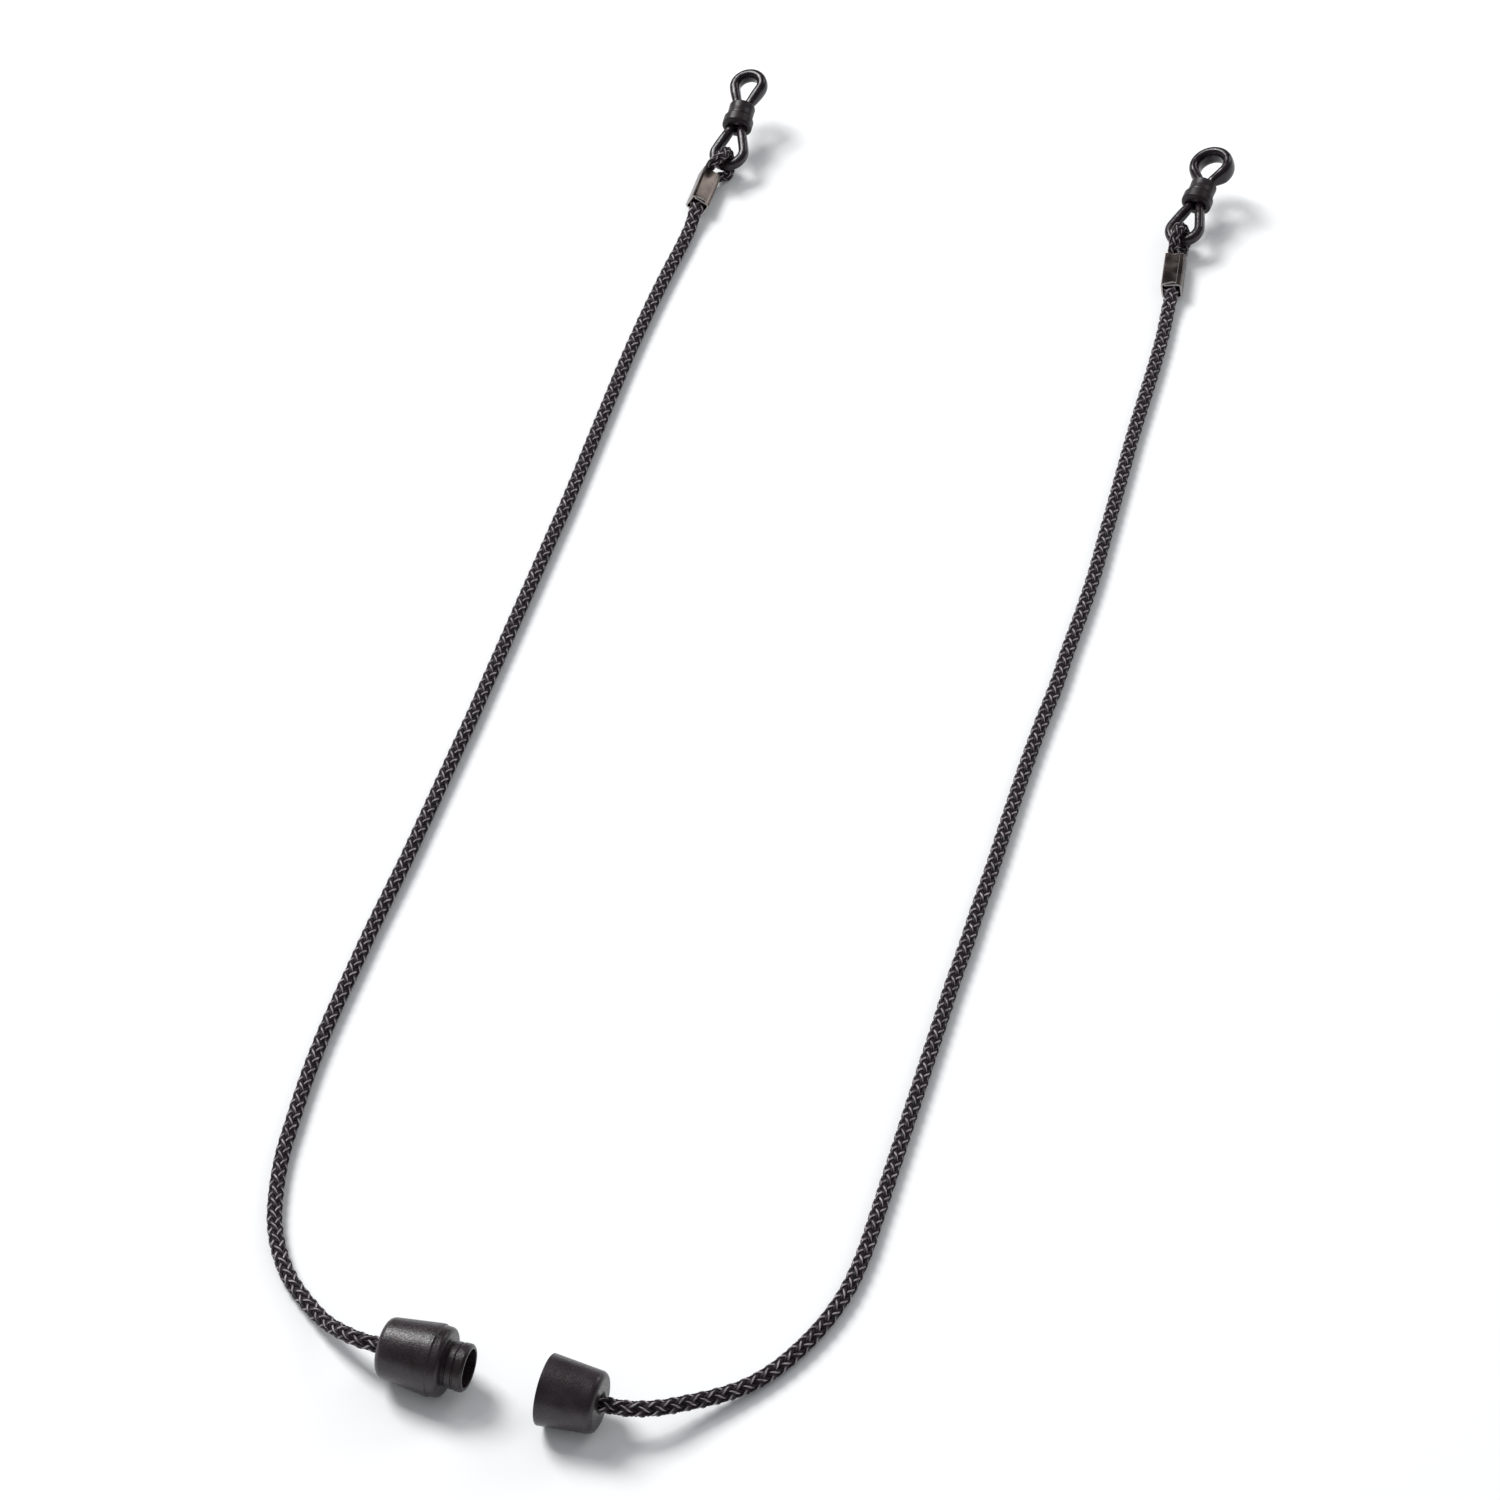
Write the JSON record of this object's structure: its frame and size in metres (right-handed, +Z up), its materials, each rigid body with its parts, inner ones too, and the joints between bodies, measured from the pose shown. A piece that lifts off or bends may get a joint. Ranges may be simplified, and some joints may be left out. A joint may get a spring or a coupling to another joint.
{
  "type": "eyeglass retainer strap",
  "caption": "Two braided cords joined by a round breakaway clasp, each ending in a metal crimp and an adjustable rubber loop that grips a glasses arm.",
  "frame": {"origin": "centre of the underside of the object's bounding box without its free cords, on the surface that it lies on", "axes": "+X along the clasp from the plug half to the socket half, +Y from the clasp towards the temple loops, +Z up"},
  "size_m": [0.1314, 0.3716, 0.0128],
  "materials": {
    "clasp_plastic": "charcoal moulded plastic with a fine pebbled texture, satin",
    "braid": "black braided polyester with thin grey tracer threads",
    "black_nickel": "black nickel plated sheet metal, bright at its edges",
    "loop_rubber": "glossy black rubber",
    "collar_rubber": "satin black rubber"
  },
  "bodies": {
    "left_strap": {"left_cord": "braid", "left_cord_knot": "braid", "left_crimp": "black_nickel", "left_cord_eye": "braid"},
    "plug_half": {"plug_shell": "clasp_plastic", "plug_spigot": "clasp_plastic"},
    "right_strap": {"right_cord": "braid", "right_cord_knot": "braid", "right_crimp": "black_nickel", "right_cord_eye": "braid"},
    "socket_half": {"socket_shell": "clasp_plastic"},
    "left_loop": {"left_rubber_loop": "loop_rubber", "left_retaining_ring": "collar_rubber"},
    "left_cinch": {"left_cinch_sleeve": "collar_rubber"},
    "right_loop": {"right_rubber_loop": "loop_rubber", "right_retaining_ring": "collar_rubber"},
    "right_cinch": {"right_cinch_sleeve": "collar_rubber"}
  },
  "joints": [
    {"name": "plug_swivel", "type": "hinge", "parent": "left_strap", "child": "plug_half", "pos_m": [0.0072, -0.181, 0.0064], "axis": [1, 0, 0], "continuous": true},
    {"name": "clasp_close", "type": "slide", "parent": "left_strap", "child": "right_strap", "axis": [-1, 0, 0], "range_m": [0, 0.0175]},
    {"name": "socket_swivel", "type": "hinge", "parent": "right_strap", "child": "socket_half", "pos_m": [0.0466, -0.181, 0.0064], "axis": [1, 0, 0], "continuous": true},
    {"name": "left_loop_swing", "type": "hinge", "parent": "left_strap", "child": "left_loop", "pos_m": [-0.0473, 0.1527, 0.0041], "axis": [0, 0, 1], "range_deg": [-15, 15]},
    {"name": "right_loop_swing", "type": "hinge", "parent": "right_strap", "child": "right_loop", "pos_m": [0.0511, 0.159, 0.0041], "axis": [0, 0, 1], "range_deg": [-15, 15]},
    {"name": "left_cinch_slide", "type": "slide", "parent": "left_loop", "child": "left_cinch", "axis": [-0.0909, 0.9616, 0.2588], "range_m": [0, 0.004], "deforming": ["left_rubber_loop"]},
    {"name": "right_cinch_slide", "type": "slide", "parent": "right_loop", "child": "right_cinch", "axis": [0.0476, 0.9732, 0.225], "range_m": [0, 0.004], "deforming": ["right_rubber_loop"]}
  ]
}
